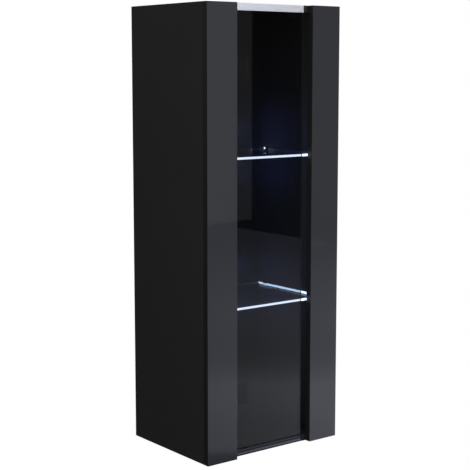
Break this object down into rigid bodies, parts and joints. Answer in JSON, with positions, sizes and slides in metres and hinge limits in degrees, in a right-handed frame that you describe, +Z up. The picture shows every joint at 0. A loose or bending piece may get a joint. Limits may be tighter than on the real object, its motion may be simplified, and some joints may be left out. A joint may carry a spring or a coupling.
{
  "type": "hanging wall cabinet",
  "caption": "Tall narrow wall cabinet in black: gloss front pillars either side of a set-back clear glass door, and glass shelves with lit edges.",
  "frame": {"origin": "middle of the cabinet's footprint, at the level of its underside", "axes": "+Z up, +X to the right seen from the front, the door faces -Y and the wall is at +Y"},
  "size_m": [0.4, 0.308, 1.07],
  "materials": {
    "black_laminate": "matt melamine-faced chipboard",
    "black_lacquer": "high-gloss lacquered fibreboard",
    "black_hardboard": "matt painted hardboard",
    "black_edging": "matt plastic edging",
    "clear_glass": "clear toughened glass",
    "shelf_glass": "clear float glass, edges lit",
    "silver_aluminium": "fine brushed, anodised",
    "dark_aluminium": "fine brushed, dark anodised",
    "black_steel": "satin black coat",
    "zinc_steel": "bright zinc plate",
    "hinge_steel": "bright drawn bar",
    "satin_chrome": "satin chrome plate",
    "die_cast_zinc": "as cast",
    "beech": "fluted beech",
    "black_plastic": "fine moulded grain",
    "clear_plastic": "clear diffuser, lit from behind",
    "circuit_board": "solder-resist green",
    "terminal_plastic": "natural nylon",
    "ferrite": "ground ferrite",
    "soft_rubber": "soft moulding",
    "clear_bumper": "soft clear dot",
    "lead_cover": "thin flexible sheath"
  },
  "bodies": {
    "cabinet": {"side_panel_left": "black_laminate", "side_panel_right": "black_laminate", "side_edge_bands": "black_edging", "bottom_panel": "black_laminate", "top_panel": "black_laminate", "back_panel": "black_hardboard", "front_pillar_left": "black_lacquer", "front_pillar_right": "black_lacquer", "pillar_dowels": "beech", "pillar_brackets": "black_steel", "bracket_screws": "zinc_steel", "carcass_dowels": "beech", "cam_bolts": "zinc_steel", "cam_discs": "die_cast_zinc", "cam_cover_caps": "black_plastic", "hanging_plates": "zinc_steel", "hanging_plate_screws": "zinc_steel", "hinge_leaves_fixed": "black_steel", "hinge_pins": "hinge_steel", "hinge_screws": "zinc_steel", "catch_housing": "black_plastic", "catch_magnet": "ferrite", "catch_pole_plates": "hinge_steel", "catch_screws": "zinc_steel", "door_bumpers": "clear_bumper", "glass_shelf_lower": "shelf_glass", "shelf_supports_lower": "satin_chrome", "light_clip_lower": "black_plastic", "light_lens_lower": "clear_plastic", "light_board_lower": "circuit_board", "light_lead_lower": "lead_cover", "glass_shelf_upper": "shelf_glass", "shelf_supports_upper": "satin_chrome", "light_clip_upper": "black_plastic", "light_lens_upper": "clear_plastic", "light_board_upper": "circuit_board", "light_lead_upper": "lead_cover", "lead_grommets": "soft_rubber", "lead_clips": "black_plastic", "junction_box": "black_plastic", "junction_box_cover": "black_plastic", "junction_board": "circuit_board", "junction_terminals": "terminal_plastic", "junction_box_screws": "zinc_steel", "power_inlet": "black_plastic"},
    "door": {"door_glass": "clear_glass", "door_top_rail": "silver_aluminium", "door_bottom_rail": "dark_aluminium", "hinge_leaves_moving": "black_steel", "strike_plate": "black_steel"}
  },
  "joints": [
    {"name": "door_hinge", "type": "hinge", "parent": "cabinet", "child": "door", "pos_m": [-0.1075, -0.134, 0.535], "axis": [0, 0, -1], "range_deg": [0, 95]}
  ]
}
